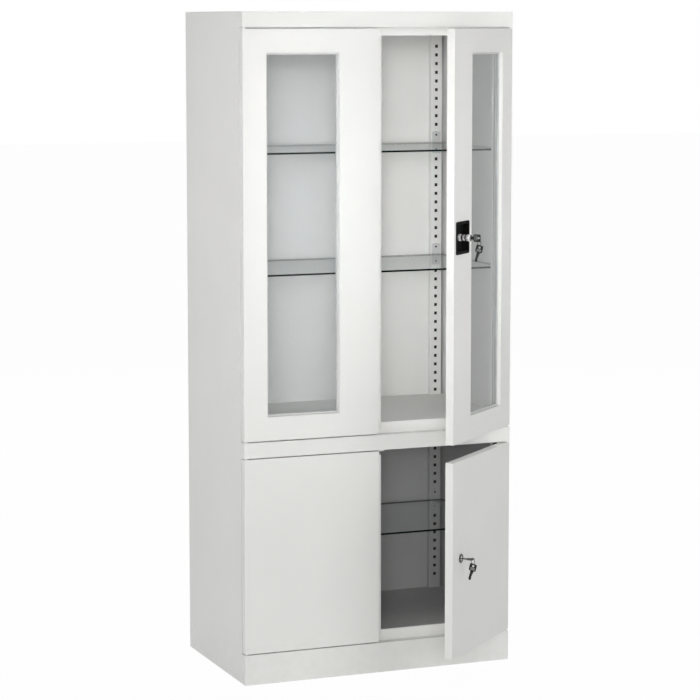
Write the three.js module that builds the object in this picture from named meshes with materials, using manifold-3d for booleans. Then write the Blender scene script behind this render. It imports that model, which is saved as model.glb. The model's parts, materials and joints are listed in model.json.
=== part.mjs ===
// Glass door medical cabinet: a folded steel carcass with glazed doors above and steel doors below.
// Millimetres. X runs to the right, Y to the back and Z up.
// The origin lies on the floor, in the middle of the foot flange under the plinth.

import * as THREE from 'three';
import { mergeVertices } from 'three/addons/utils/BufferGeometryUtils.js';
import Module from 'manifold-3d';

const wasm = await Module();
wasm.setup();

// Overall sizes
const WIDTH = 780;
const DEPTH = 470;
const HEIGHT = 1800;

// Front of the cabinet, from the top down; the upper doorway takes what is left
const HEADER_HEIGHT = 42;
const CROSSBAR_HEIGHT = 42;
const LOWER_DOORWAY = 535;
const PLINTH_HEIGHT = 82;

// Sheet steel, the seam between fastened pieces and the gap round moving ones
const SHEET = 1;
const SEAM = 0.3;
const RUNNING_GAP = 0.3;

// Folds of the carcass
const JAMB_FLANGE = 25;
const REAR_FLANGE = 15;
const FLOOR_RISE = 30;
const FLOOR_LAP = 20;
const STOP_DROP = 22;
const FOOT_FLANGE = 40;
const TAB_START = 6;
const TAB_WIDTH = 18;
const TAB_DROP = 8;

// Perforated uprights
const UPRIGHT_SIDE_GAP = 6;
const UPRIGHT_WIDTH = 35;
const UPRIGHT_DEPTH = 13.5;
const UPRIGHT_SHEET = 1.5;
const HOLE = 9;
const HOLE_PITCH = 25;
const FIRST_HOLE_RISE = 41;
const TOP_HOLE_MARGIN = 90;

// Glass shelves and the hooked brackets under them
const SHELF_GLASS = 5;
const SHELF_SIDE_GAP = 3;
const TOP_BAY = 336;
const SHELF_SPACING = 325;
const LOWER_SHELF_RISE = 260;
const SHELF_OVER_HOLE = 19;
const BRACKET_WIDTH = 26;
const BRACKET_SHEET = 1.5;
const BRACKET_END = 4;
const BRACKET_TONGUE = 30;
const HOOK_SPAN = 2;
const HOOK_WIDTH = 6;
const HOOK_NECK = 4;
const HOOK_DROP = 4;

// Doors
const DOOR_THICKNESS = 22;
const DOOR_CLEARANCE = 5;
const DOOR_GAP = 3;
const DOOR_SIDE_INSET = 0.5;
const MEETING_GAP = 3;
const UPPER_AJAR_ANGLE = 42;
const LOWER_AJAR_ANGLE = 42;
const STRIP_WIDTH = 31;
const STRIP_PROJECTION = 15;
const STRIP_SHEET = 1.2;
const STRIP_INSET = 14;

// Pivot pins, as far from the door's face as from its outer side
const PIVOT_INSET = 8;
const PIN_RADIUS = 3;
const PIN_COLLAR = 5;
const PIN_REACH = 6;

// Windows of the upper doors
const HINGE_STILE = 66;
const FREE_STILE = 115;
const TOP_RAIL = 63;
const BOTTOM_RAIL = 64;
const PANE = 4;
const GLASS_SETBACK = 12;
const GASKET_SIGHT = 5;
const GASKET_LIP = 2;
const GASKET_GRIP = 3;

// Locks of the right doors: distances along the axis count outwards from the door's face
const LOCK_FROM_EDGE = 54;
const CUP_SIZE = 82;
const CUP_BODY = 74;
const CUP_CORNER = 6;
const CUP_RIM = 1.5;
const CUP_WALL = 1.5;
const CUP_DEPTH = 12;
const SPINDLE_RADIUS = 4.5;
const PINION_RADIUS = 6;
const KNOB_RADIUS = 9.4;
const KNOB_NECK = 7.4;
const KNOB_TIP = 24;
const KNOB_BASE_LENGTH = 6;
const KNOB_HEAD_LENGTH = 10;
const KNOB_RING_LENGTH = 2;
const KNOB_CHAMFER = 1.2;
const BARREL_RADIUS = 9;
const BARREL_FLANGE = 12.5;
const BARREL_PROUD = 3;
const PLUG_RADIUS = 5.6;
const CASE_WALL = 0.8;
const CASE_HEIGHT = 64;
const ROD_RADIUS = 3;
const ROD_TAIL = 15;
const ROD_SHY = 1;

// Keys: one in each lock, and a spare on a ring through its bow
const KEY_SHEET = 2;
const KEY_BOW = 20;
const KEY_BOW_CORNER = 5;
const KEY_BLADE = 26;
const KEY_BLADE_HEIGHT = 8;
const KEY_HOLE = 3.5;
const KEY_HOLE_INSET = 6;
const UPPER_KEY_SHOWING = 8;
const LOWER_KEY_SHOWING = 14;
const RING_RADIUS = 10;
const RING_WIRE = 0.9;
const RING_LEAN = 10;
const SPARE_LEAN = 15;

// Facets
const ROUND = 12;
const RING_SIDES = 5;
const RING_STEPS = 18;
const CORNER_STEPS = 3;
const WELD = 1e-4;

// Levels and planes that several pieces share
const halfWidth = WIDTH / 2;
const innerHalf = halfWidth - SHEET - SEAM;
const front = -FOOT_FLANGE / 2;
const back = front + DEPTH;
const jamb = front + DOOR_THICKNESS + DOOR_CLEARANCE;
const railBack = jamb - SEAM;
const betweenJambs = halfWidth - JAMB_FLANGE - SEAM;
const behindJamb = jamb + SHEET + SEAM;
const backPanelRear = back - SHEET - SEAM;
const backPanelFront = backPanelRear - SHEET;
const underRoof = HEIGHT - SHEET - SEAM;
const headerBottom = HEIGHT - HEADER_HEIGHT;
const crossbarBottom = PLINTH_HEIGHT + LOWER_DOORWAY;
const crossbarTop = crossbarBottom + CROSSBAR_HEIGHT;
const middleFloorTop = crossbarTop + FLOOR_RISE;
const bottomFloorTop = PLINTH_HEIGHT + FLOOR_RISE;
const firstHole = bottomFloorTop + FIRST_HOLE_RISE;

// Places measured from a door's pivot: u runs to the free edge, y to the back
const pivotX = halfWidth - PIVOT_INSET;
const pivotY = front + PIVOT_INSET;
const outerEdge = PIVOT_INSET - DOOR_SIDE_INSET;
const freeEdge = pivotX - MEETING_GAP / 2;
const doorFace = -PIVOT_INSET;
const doorBack = doorFace + DOOR_THICKNESS;
const lockU = freeEdge - LOCK_FROM_EDGE;
const rodOffset = PINION_RADIUS + ROD_RADIUS + RUNNING_GAP;
const caseFront = CUP_DEPTH + SEAM;
const caseDepth = DOOR_THICKNESS - SHEET - SEAM - caseFront;
const rodY = doorFace + caseFront + caseDepth / 2;
const rodHole = ROD_RADIUS + RUNNING_GAP;
const pinHole = PIN_RADIUS + RUNNING_GAP;
const upperDoor = [crossbarTop + DOOR_GAP, headerBottom - DOOR_GAP];
const lowerDoor = [PLINTH_HEIGHT + DOOR_GAP, crossbarBottom - DOOR_GAP];
const windowU = [HINGE_STILE - outerEdge, freeEdge - FREE_STILE];
const windowZ = [upperDoor[0] + BOTTOM_RAIL, upperDoor[1] - TOP_RAIL];

// Finishes
const finish = (color, roughness, metalness, opacity = 1) =>
  new THREE.MeshStandardMaterial({ color, roughness, metalness, opacity, transparent: opacity < 1 });
const whiteCoat = finish(0xebebe7, 0.45, 0);
const galvanised = finish(0xb9bbbb, 0.4, 0.8);
const chrome = finish(0xd2d2d2, 0.15, 1);
const keySteel = finish(0x9a9a98, 0.3, 1);
const blackPlastic = finish(0x121212, 0.3, 0);
const greyRubber = finish(0x7c7d7b, 0.8, 0);
const clearGlass = finish(0xe4eeea, 0.05, 0, 0.3);

// A closed geometry becomes a solid that can be joined and cut
function solid(geometry) {
  geometry.deleteAttribute('normal');
  geometry.deleteAttribute('uv');
  const welded = mergeVertices(geometry, WELD);
  const corners = welded.index.array;
  const triangles = [];
  for (let i = 0; i < corners.length; i += 3) {
    const [a, b, c] = corners.slice(i, i + 3);
    if (a !== b && b !== c && c !== a) triangles.push(a, b, c);
  }
  return new wasm.Manifold(new wasm.Mesh({
    numProp: 3,
    vertProperties: welded.attributes.position.array,
    triVerts: new Uint32Array(triangles),
  }));
}

// A box between two values on each axis, in either order; its corners take those very values
function block(x, y, z) {
  const geometry = new THREE.BoxGeometry(1, 1, 1);
  const { position } = geometry.attributes;
  const low = [x, y, z].map((ends) => Math.min(...ends));
  const high = [x, y, z].map((ends) => Math.max(...ends));
  for (let i = 0; i < position.count; i += 1) {
    position.setXYZ(i, ...low.map((value, axis) => (position.getComponent(i, axis) < 0 ? value : high[axis])));
  }
  return solid(geometry);
}

// An upright round bar, or the hole for one
function bar(radius, [x, y], [low, high]) {
  const geometry = new THREE.CylinderGeometry(radius, radius, high - low, ROUND);
  return solid(geometry.rotateX(Math.PI / 2).translate(x, y, (low + high) / 2));
}

// A turned shape on the X axis from points of place and radius, with place rising
function turned(points) {
  const profile = points.map(([place, radius]) => new THREE.Vector2(radius, place));
  return solid(new THREE.LatheGeometry(profile, ROUND).rotateZ(-Math.PI / 2));
}

// A plate with round corners, square to X, between two places
function roundedPlate(size, corner, [from, to]) {
  const reach = size / 2 - corner;
  const outline = new THREE.Shape();
  outline.absarc(reach, reach, corner, 0, Math.PI / 2);
  outline.absarc(-reach, reach, corner, Math.PI / 2, Math.PI);
  outline.absarc(-reach, -reach, corner, Math.PI, Math.PI * 1.5);
  outline.absarc(reach, -reach, corner, Math.PI * 1.5, Math.PI * 2);
  const geometry = new THREE.ExtrudeGeometry(outline, {
    depth: to - from,
    bevelEnabled: false,
    curveSegments: CORNER_STEPS,
  });
  return solid(geometry.rotateY(Math.PI / 2).translate(from, 0, 0));
}

function outlineOf(points) {
  return new THREE.Shape(points.map(([x, y]) => new THREE.Vector2(x, y)));
}

// A sheet folded along Z, from an outline of X and Y
function foldedUp(points, [low, high]) {
  const geometry = new THREE.ExtrudeGeometry(outlineOf(points), { depth: high - low, bevelEnabled: false });
  return solid(geometry.translate(0, 0, low));
}

// A sheet folded along X, from an outline of Y and Z
function foldedAcross(points, [from, to]) {
  const geometry = new THREE.ExtrudeGeometry(outlineOf(points), { depth: to - from, bevelEnabled: false });
  const axes = [new THREE.Vector3(0, 1, 0), new THREE.Vector3(0, 0, 1), new THREE.Vector3(1, 0, 0)];
  geometry.applyMatrix4(new THREE.Matrix4().makeBasis(...axes));
  return solid(geometry.translate(from, 0, 0));
}

function grow([low, high], amount) {
  return [low - amount, high + amount];
}

function mirror(side, [from, to]) {
  return [side * from, side * to];
}

// Each piece is one named mesh with a material of its own
function piece(parent, name, shape, material) {
  const { vertProperties, triVerts } = shape.getMesh();
  const geometry = new THREE.BufferGeometry();
  geometry.setAttribute('position', new THREE.BufferAttribute(vertProperties, 3));
  geometry.setIndex(new THREE.BufferAttribute(triVerts, 1));
  geometry.computeVertexNormals();
  const mesh = new THREE.Mesh(geometry, material.clone());
  mesh.name = name;
  parent.add(mesh);
}

const cabinet = new THREE.Group();
cabinet.name = 'glass_door_cabinet';
const sides = [['left', -1], ['right', 1]];

// Where the rods of the closed right doors meet the rails
const topRodX = pivotX - lockU - rodOffset;
const bottomRodX = pivotX - lockU + rodOffset;

// Cutters run a little past the sheets that they go through
const past = (ends) => grow(ends, SHEET / 2);

function rodBore(x, heights) {
  return bar(rodHole, [x, pivotY + rodY], past(heights));
}

function pinBores(shape, heights) {
  const left = bar(pinHole, [-pivotX, pivotY], past(heights));
  const right = bar(pinHole, [pivotX, pivotY], past(heights));
  return shape.subtract(left).subtract(right);
}

// The ends of a folded rail, let into it by half a sheet
function railEnds(shape, heights) {
  const depth = [front + SHEET / 2, railBack - SHEET / 2];
  const across = [halfWidth - SHEET * 1.5, halfWidth - SHEET / 2];
  const left = block(mirror(-1, across), depth, past(heights.map((z, i) => z + (i ? -SHEET : SHEET))));
  const right = block(mirror(1, across), depth, past(heights.map((z, i) => z + (i ? -SHEET : SHEET))));
  return shape.add(left).add(right);
}

// Room at both ends of a rail for the jamb flanges of the side panels
function clearJambs(shape, depth, heights) {
  const across = [betweenJambs, halfWidth + SHEET];
  const left = block(mirror(-1, across), depth, heights);
  const right = block(mirror(1, across), depth, heights);
  return shape.subtract(left).subtract(right);
}

function topCover() {
  const lowSheet = [headerBottom, headerBottom + SHEET];
  const stopBottom = headerBottom - STOP_DROP;
  const sheet = foldedAcross([
    [front, headerBottom], [jamb, headerBottom], [jamb, stopBottom], [jamb + SHEET, stopBottom],
    [jamb + SHEET, lowSheet[1]], [front + SHEET, lowSheet[1]], [front + SHEET, HEIGHT - SHEET],
    [back, HEIGHT - SHEET], [back, HEIGHT], [front, HEIGHT]], [-halfWidth, halfWidth]);
  const cleared = clearJambs(sheet, [railBack, behindJamb], [stopBottom - SHEET, lowSheet[1] + SHEET]);
  const closed = railEnds(cleared, [headerBottom, HEIGHT]);
  return pinBores(closed, lowSheet).subtract(rodBore(topRodX, lowSheet));
}

function middleCrossbar() {
  const lowSheet = [crossbarBottom, crossbarBottom + SHEET];
  const highSheet = [crossbarTop - SHEET, crossbarTop];
  const sheet = foldedAcross([
    [front, lowSheet[0]], [railBack, lowSheet[0]], [railBack, lowSheet[1]], [front + SHEET, lowSheet[1]],
    [front + SHEET, highSheet[0]], [railBack, highSheet[0]], [railBack, highSheet[1]], [front, highSheet[1]],
  ], [-halfWidth, halfWidth]);
  const tab = block(
    [TAB_START, TAB_START + TAB_WIDTH], [railBack - 2 * SHEET, railBack - SHEET],
    [crossbarBottom - TAB_DROP, crossbarBottom + SHEET / 2]);
  const closed = railEnds(sheet, [crossbarBottom, crossbarTop]).add(tab);
  const bored = closed.subtract(rodBore(topRodX, lowSheet)).subtract(rodBore(bottomRodX, highSheet));
  return pinBores(bored, [crossbarBottom, crossbarTop]);
}

function plinthFront() {
  const highSheet = [PLINTH_HEIGHT - SHEET, PLINTH_HEIGHT];
  const sheet = foldedAcross([
    [front, 0], [front + FOOT_FLANGE, 0], [front + FOOT_FLANGE, SHEET], [front + SHEET, SHEET],
    [front + SHEET, highSheet[0]], [railBack, highSheet[0]], [railBack, highSheet[1]], [front, highSheet[1]],
  ], [-halfWidth, halfWidth]);
  const cleared = clearJambs(sheet, [railBack, front + 2 * FOOT_FLANGE], [-SHEET, 2 * SHEET]);
  const closed = railEnds(cleared, [0, PLINTH_HEIGHT]);
  return pinBores(closed, highSheet).subtract(rodBore(bottomRodX, highSheet));
}

function sidePanel(side) {
  const wall = halfWidth - SHEET;
  const outline = [
    [halfWidth, jamb], [halfWidth, back], [halfWidth - REAR_FLANGE, back],
    [halfWidth - REAR_FLANGE, back - SHEET], [wall, back - SHEET], [wall, jamb + SHEET],
    [halfWidth - JAMB_FLANGE, jamb + SHEET], [halfWidth - JAMB_FLANGE, jamb]];
  return foldedUp(outline.map(([x, y]) => [side * x, y]), [0, underRoof]);
}

function backPanel() {
  return block([-innerHalf, innerHalf], [backPanelFront, backPanelRear], [0, underRoof]);
}

// A floor with a front lip that laps down behind the rail below it
function floorPan(top, railTop) {
  const rear = backPanelFront - SEAM;
  const lipBottom = railTop - FLOOR_LAP;
  const sheet = foldedAcross([
    [jamb, lipBottom], [jamb + SHEET, lipBottom], [jamb + SHEET, top - SHEET], [rear, top - SHEET],
    [rear, top], [jamb, top]], [-innerHalf, innerHalf]);
  return clearJambs(sheet, [front, behindJamb], [lipBottom - SHEET, top + SHEET]);
}

// The four corners that carry the shelves, with the way each upright faces
const corners = [];
for (const [sideName, side] of sides) {
  corners.push({ name: `front_${sideName}`, side, anchor: behindJamb, facing: 1 });
  corners.push({ name: `rear_${sideName}`, side, anchor: backPanelFront - SEAM, facing: -1 });
}
const uprightOuter = innerHalf - UPRIGHT_SIDE_GAP;
const uprightInner = uprightOuter - UPRIGHT_WIDTH;
const uprightMiddle = (uprightOuter + uprightInner) / 2;
const uprightFace = ({ anchor, facing }) => anchor + facing * UPRIGHT_DEPTH;
const holeCount = 1 + Math.floor((underRoof - TOP_HOLE_MARGIN - firstHole) / HOLE_PITCH);

function middleFloor() {
  let floor = floorPan(middleFloorTop, crossbarTop);
  for (const corner of corners) {
    const depth = [corner.anchor - corner.facing * SEAM * 2, uprightFace(corner) + corner.facing * SEAM];
    const width = mirror(corner.side, [uprightInner - SEAM, halfWidth]);
    floor = floor.subtract(block(width, depth, past([middleFloorTop - SHEET, middleFloorTop])));
  }
  return floor;
}

// An angle with a row of square holes; its leg stands off the sheet that carries it
function upright(corner) {
  const heights = [bottomFloorTop + SEAM, underRoof];
  const face = uprightFace(corner);
  const faceRear = face - corner.facing * UPRIGHT_SHEET;
  const outline = [
    [uprightInner, corner.anchor], [uprightInner, face], [uprightOuter, face], [uprightOuter, faceRear],
    [uprightInner + UPRIGHT_SHEET, faceRear], [uprightInner + UPRIGHT_SHEET, corner.anchor]];
  let angle = foldedUp(outline.map(([x, y]) => [corner.side * x, y]), heights);
  const across = grow([corner.side * uprightMiddle, corner.side * uprightMiddle], HOLE / 2);
  const holeDepth = [face - 2 * corner.facing * UPRIGHT_SHEET, face + corner.facing * UPRIGHT_SHEET];
  for (let i = 0; i < holeCount; i += 1) {
    const middle = firstHole + i * HOLE_PITCH;
    angle = angle.subtract(block(across, holeDepth, grow([middle, middle], HOLE / 2)));
  }
  return angle;
}

// A bracket hooks into two holes and carries one corner of a shelf on its tongue
function bracket(corner, hookHole) {
  const { side, facing } = corner;
  const face = uprightFace(corner);
  const middle = side * uprightMiddle;
  const plateRear = face + facing * SEAM;
  const plateFront = plateRear + facing * BRACKET_SHEET;
  const tongueEnd = plateFront + facing * BRACKET_TONGUE;
  const topHook = hookHole + HOOK_SPAN * HOLE_PITCH;
  const plateTop = topHook + BRACKET_END;
  const plateBottom = hookHole - HOLE / 2 - BRACKET_END;
  const tongueTop = hookHole + SHELF_OVER_HOLE - SEAM;
  const tongueBottom = tongueTop - BRACKET_SHEET;
  let shape = foldedAcross([
    [plateRear, plateBottom], [plateFront, plateBottom], [plateFront, tongueBottom], [tongueEnd, tongueBottom],
    [tongueEnd, tongueTop], [plateFront, tongueTop], [plateFront, plateTop], [plateRear, plateTop],
  ], grow([middle, middle], BRACKET_WIDTH / 2));
  const tabFront = face - facing * (UPRIGHT_SHEET + RUNNING_GAP);
  const tabRear = tabFront - facing * BRACKET_SHEET;
  const rooted = (plateRear + plateFront) / 2;
  for (const hole of [hookHole, topHook]) {
    const seat = hole - HOLE / 2;
    const neck = [seat + SEAM, seat + HOOK_NECK];
    const hook = foldedAcross([
      [rooted, neck[0]], [tabFront, neck[0]], [tabFront, seat - HOOK_DROP], [tabRear, seat - HOOK_DROP],
      [tabRear, neck[1]], [rooted, neck[1]]], grow([middle, middle], HOOK_WIDTH / 2));
    shape = shape.add(hook);
  }
  return shape;
}

// A shelf between the brackets' plates, snapped to the nearest hole
function hookHoleFor(height) {
  return firstHole + HOLE_PITCH * Math.round((height - SHELF_OVER_HOLE - firstHole) / HOLE_PITCH);
}

const topShelf = headerBottom - TOP_BAY;
const shelves = [
  ['top', hookHoleFor(topShelf)],
  ['middle', hookHoleFor(topShelf - SHELF_SPACING)],
  ['lower', hookHoleFor(bottomFloorTop + LOWER_SHELF_RISE)],
];

function glassShelf(hookHole) {
  const under = hookHole + SHELF_OVER_HOLE;
  const plateRoom = 2 * SEAM + BRACKET_SHEET;
  const depth = [uprightFace(corners[0]) + plateRoom, uprightFace(corners[1]) - plateRoom];
  const reach = halfWidth - SHEET - SHELF_SIDE_GAP;
  return block([-reach, reach], depth, [under, under + SHELF_GLASS]);
}

// A pivot pin: a shaft through the rail into each door, with a collar in each door gap
function pivotPin([low, high], collars) {
  const points = [[low, 0], [low, PIN_RADIUS]];
  for (const [from, to] of collars) {
    points.push([from, PIN_RADIUS], [from, PIN_COLLAR], [to, PIN_COLLAR], [to, PIN_RADIUS]);
  }
  points.push([high, PIN_RADIUS], [high, 0]);
  const profile = points.map(([place, radius]) => new THREE.Vector2(radius, place));
  return new THREE.LatheGeometry(profile, ROUND).rotateX(Math.PI / 2);
}

function addPivotPins(sideName, side) {
  const collarIn = (low) => grow([low, low + DOOR_GAP], -RUNNING_GAP);
  const top = pivotPin([upperDoor[1] - SHEET - PIN_REACH, headerBottom + SHEET + PIN_REACH],
    [collarIn(upperDoor[1])]);
  const middle = pivotPin([lowerDoor[1] - SHEET - PIN_REACH, upperDoor[0] + SHEET + PIN_REACH],
    [collarIn(lowerDoor[1]), collarIn(crossbarTop)]);
  const bottom = pivotPin([PLINTH_HEIGHT - SHEET - PIN_REACH, lowerDoor[0] + SHEET + PIN_REACH],
    [collarIn(PLINTH_HEIGHT)]);
  const x = side * pivotX;
  piece(cabinet, `pivot_pin_top_${sideName}`, solid(top.translate(x, pivotY, 0)), galvanised);
  piece(cabinet, `pivot_pin_middle_${sideName}`, solid(middle.translate(x, pivotY, 0)), galvanised);
  piece(cabinet, `pivot_pin_bottom_${sideName}`, solid(bottom.translate(x, pivotY, 0)), galvanised);
}

// A door's group turns about its pivot; toFree is the sign of X on the way to the free edge
function doorGroup(side, openDegrees) {
  const group = new THREE.Group();
  group.position.set(side * pivotX, pivotY, 0);
  group.rotation.z = side * THREE.MathUtils.degToRad(openDegrees);
  cabinet.add(group);
  return group;
}

// A double-skinned leaf, bored for its pivots
function doorLeaf(toFree, heights) {
  const width = [-outerEdge, freeEdge];
  const depth = [doorFace, doorBack];
  const outer = block(mirror(toFree, width), depth, heights);
  const hollow = block(mirror(toFree, grow(width, -SHEET)), grow(depth, -SHEET), grow(heights, -SHEET));
  return { outer: outer.subtract(bar(pinHole, [0, 0], past(heights))), hollow };
}

function plainLeaf(toFree) {
  const { outer, hollow } = doorLeaf(toFree, lowerDoor);
  return outer.subtract(hollow);
}

// The upper leaves have a window whose edges are folded back through the door
function glazedLeaf(toFree) {
  const { outer, hollow } = doorLeaf(toFree, upperDoor);
  const depth = [doorFace, doorBack];
  const casing = block(mirror(toFree, grow(windowU, SHEET)), depth, grow(windowZ, SHEET));
  const opening = block(mirror(toFree, windowU), past(depth), windowZ);
  return outer.subtract(hollow.subtract(casing)).subtract(opening);
}

const paneDepth = [doorFace + GLASS_SETBACK, doorFace + GLASS_SETBACK + PANE];
const paneInset = SEAM + GASKET_SIGHT - GASKET_GRIP;

function windowPane(toFree) {
  return block(mirror(toFree, grow(windowU, -paneInset)), paneDepth, grow(windowZ, -paneInset));
}

// The gasket is a ring with a groove that grips the pane all round
function windowGasket(toFree) {
  const depth = grow(paneDepth, GASKET_LIP);
  const sight = SEAM + GASKET_SIGHT;
  const grooveInset = paneInset - SEAM;
  const ring = block(mirror(toFree, grow(windowU, -SEAM)), depth, grow(windowZ, -SEAM));
  const opening = block(mirror(toFree, grow(windowU, -sight)), past(depth), grow(windowZ, -sight));
  const groove = block(
    mirror(toFree, grow(windowU, -grooveInset)), grow(paneDepth, SEAM), grow(windowZ, -grooveInset));
  return ring.subtract(opening).subtract(groove);
}

// A strip behind the left door's free edge, which the closed right door holds shut
function meetingStrip(heights) {
  const far = freeEdge + STRIP_PROJECTION;
  const near = doorBack + SEAM;
  return block([far - STRIP_WIDTH, far], [near, near + STRIP_SHEET], grow(heights, -STRIP_INSET));
}

function addLeftDoors() {
  const upper = doorGroup(-1, 0);
  piece(upper, 'upper_left_door_leaf', glazedLeaf(1), whiteCoat);
  piece(upper, 'upper_left_gasket', windowGasket(1), greyRubber);
  piece(upper, 'upper_left_pane', windowPane(1), clearGlass);
  piece(upper, 'upper_meeting_strip', meetingStrip(upperDoor), whiteCoat);
  const lower = doorGroup(-1, 0);
  piece(lower, 'lower_left_door_leaf', plainLeaf(1), whiteCoat);
  piece(lower, 'lower_meeting_strip', meetingStrip(lowerDoor), whiteCoat);
}

// In a lock's group X points out of the door's face along the lock's axis and Y points up
function lockGroup(door, height) {
  const group = new THREE.Group();
  const out = new THREE.Vector3(0, -1, 0);
  const up = new THREE.Vector3(0, 0, 1);
  group.setRotationFromMatrix(new THREE.Matrix4().makeBasis(out, up, new THREE.Vector3().crossVectors(out, up)));
  group.position.set(-lockU, doorFace, height);
  door.add(group);
  return group;
}

const cupBottom = -(CUP_DEPTH - CUP_WALL);
const spindleBore = [[-DOOR_THICKNESS, 0], [-DOOR_THICKNESS, SPINDLE_RADIUS + RUNNING_GAP],
  [0, SPINDLE_RADIUS + RUNNING_GAP], [0, 0]];
const pinionBack = -(caseFront + caseDepth - CASE_WALL - RUNNING_GAP);
const pinionFront = -(caseFront + CASE_WALL + RUNNING_GAP);
const spindle = [[pinionBack, 0], [pinionBack, PINION_RADIUS], [pinionFront, PINION_RADIUS],
  [pinionFront, SPINDLE_RADIUS]];

// The slot takes the part of the blade that doesn't show
function cutKeySlot(shape, tip, showing, turn) {
  const reach = [tip - (KEY_BLADE - showing) - SEAM, tip + SEAM];
  const high = grow([0, 0], KEY_BLADE_HEIGHT / 2 + SEAM);
  const wide = grow([0, 0], KEY_SHEET / 2 + SEAM);
  return shape.subtract(block(reach, turn ? wide : high, turn ? high : wide));
}

function lockCup() {
  const rim = roundedPlate(CUP_SIZE, CUP_CORNER, [SEAM, SEAM + CUP_RIM]);
  const body = roundedPlate(CUP_BODY, CUP_CORNER, [-CUP_DEPTH, SEAM + CUP_RIM / 2]);
  const recess = roundedPlate(CUP_BODY - 2 * CUP_WALL, CUP_CORNER - CUP_WALL, [cupBottom, SEAM + 2 * CUP_RIM]);
  return rim.add(body).subtract(recess).subtract(turned(spindleBore));
}

function lockKnob() {
  const base = cupBottom + RUNNING_GAP;
  const head = KNOB_TIP - KNOB_HEAD_LENGTH;
  const ring = (base + KNOB_BASE_LENGTH + head) / 2;
  const ringRadius = (KNOB_RADIUS + KNOB_NECK) / 2;
  const knob = turned([...spindle,
    [base, SPINDLE_RADIUS], [base, KNOB_RADIUS], [base + KNOB_BASE_LENGTH, KNOB_RADIUS],
    [base + KNOB_BASE_LENGTH, KNOB_NECK], [ring, KNOB_NECK], [ring, ringRadius],
    [ring + KNOB_RING_LENGTH, ringRadius], [ring + KNOB_RING_LENGTH, KNOB_NECK], [head, KNOB_NECK],
    [head, KNOB_RADIUS], [KNOB_TIP - KNOB_CHAMFER, KNOB_RADIUS], [KNOB_TIP, KNOB_RADIUS - KNOB_CHAMFER],
    [KNOB_TIP, 0]]);
  return cutKeySlot(knob, KNOB_TIP, UPPER_KEY_SHOWING, false);
}

function lockBarrel() {
  const bore = PLUG_RADIUS + RUNNING_GAP;
  return turned([[-CUP_DEPTH, bore], [-CUP_DEPTH, BARREL_RADIUS], [SEAM, BARREL_RADIUS], [SEAM, BARREL_FLANGE],
    [BARREL_PROUD / 2, BARREL_FLANGE], [BARREL_PROUD, BARREL_FLANGE - BARREL_PROUD / 2],
    [BARREL_PROUD, bore], [-CUP_DEPTH, bore]]);
}

function lockPlug() {
  const plug = turned([...spindle, [-CUP_DEPTH, SPINDLE_RADIUS], [-CUP_DEPTH, PLUG_RADIUS],
    [BARREL_PROUD, PLUG_RADIUS], [BARREL_PROUD, 0]]);
  return cutKeySlot(plug, BARREL_PROUD, LOWER_KEY_SHOWING, true);
}

// A flat case behind the lock; the rods run past the pinion inside it, one on each side
function lockCase() {
  const half = rodOffset + rodHole + CASE_WALL;
  const depth = [-caseFront - caseDepth, -caseFront];
  const height = grow([0, 0], CASE_HEIGHT / 2);
  const outer = block(depth, height, [-half, half]);
  const inside = block(grow(depth, -CASE_WALL), grow(height, -CASE_WALL), grow([-half, half], -CASE_WALL));
  const middle = -caseFront - caseDepth / 2;
  const rodWay = (z, heights) => block(grow([middle, middle], rodHole), heights, grow([z, z], rodHole));
  return outer.subtract(inside).subtract(turned(spindleBore))
    .subtract(rodWay(rodOffset, [0, CASE_HEIGHT])).subtract(rodWay(-rodOffset, [-CASE_HEIGHT, 0]));
}

// A key lies in the XY plane with the end of its blade at the origin and its bow on the way out
function keyShape() {
  const half = KEY_BLADE_HEIGHT / 2;
  const bowReach = KEY_BOW / 2 - KEY_BOW_CORNER;
  const bowMiddle = KEY_BLADE + KEY_BOW / 2;
  const outline = new THREE.Shape();
  outline.moveTo(0, -half);
  outline.lineTo(KEY_BLADE, -half);
  outline.absarc(bowMiddle - bowReach, -bowReach, KEY_BOW_CORNER, Math.PI, Math.PI * 1.5);
  outline.absarc(bowMiddle + bowReach, -bowReach, KEY_BOW_CORNER, Math.PI * 1.5, Math.PI * 2);
  outline.absarc(bowMiddle + bowReach, bowReach, KEY_BOW_CORNER, 0, Math.PI / 2);
  outline.absarc(bowMiddle - bowReach, bowReach, KEY_BOW_CORNER, Math.PI / 2, Math.PI);
  outline.lineTo(KEY_BLADE, half);
  outline.lineTo(0, half);
  const rim = new THREE.EllipseCurve(keyHolePlace, 0, KEY_HOLE, KEY_HOLE).getPoints(ROUND);
  outline.holes.push(new THREE.Path(rim));
  const geometry = new THREE.ExtrudeGeometry(outline, {
    depth: KEY_SHEET,
    bevelEnabled: false,
    curveSegments: CORNER_STEPS,
  });
  return solid(geometry.translate(0, 0, -KEY_SHEET / 2));
}

// The ring's wire rests on the edge of a hole, or its arch rests on a level bow from the hole to the side
const keyHolePlace = KEY_BLADE + KEY_BOW - KEY_HOLE_INSET;
const holeSlack = KEY_HOLE - RING_WIRE - SEAM;
const webHalf = (KEY_BOW / 2 - KEY_HOLE) / 2;
const webDrop = Math.sqrt((RING_RADIUS - RING_WIRE) ** 2 - webHalf ** 2) - KEY_SHEET / 2 - SEAM;

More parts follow.
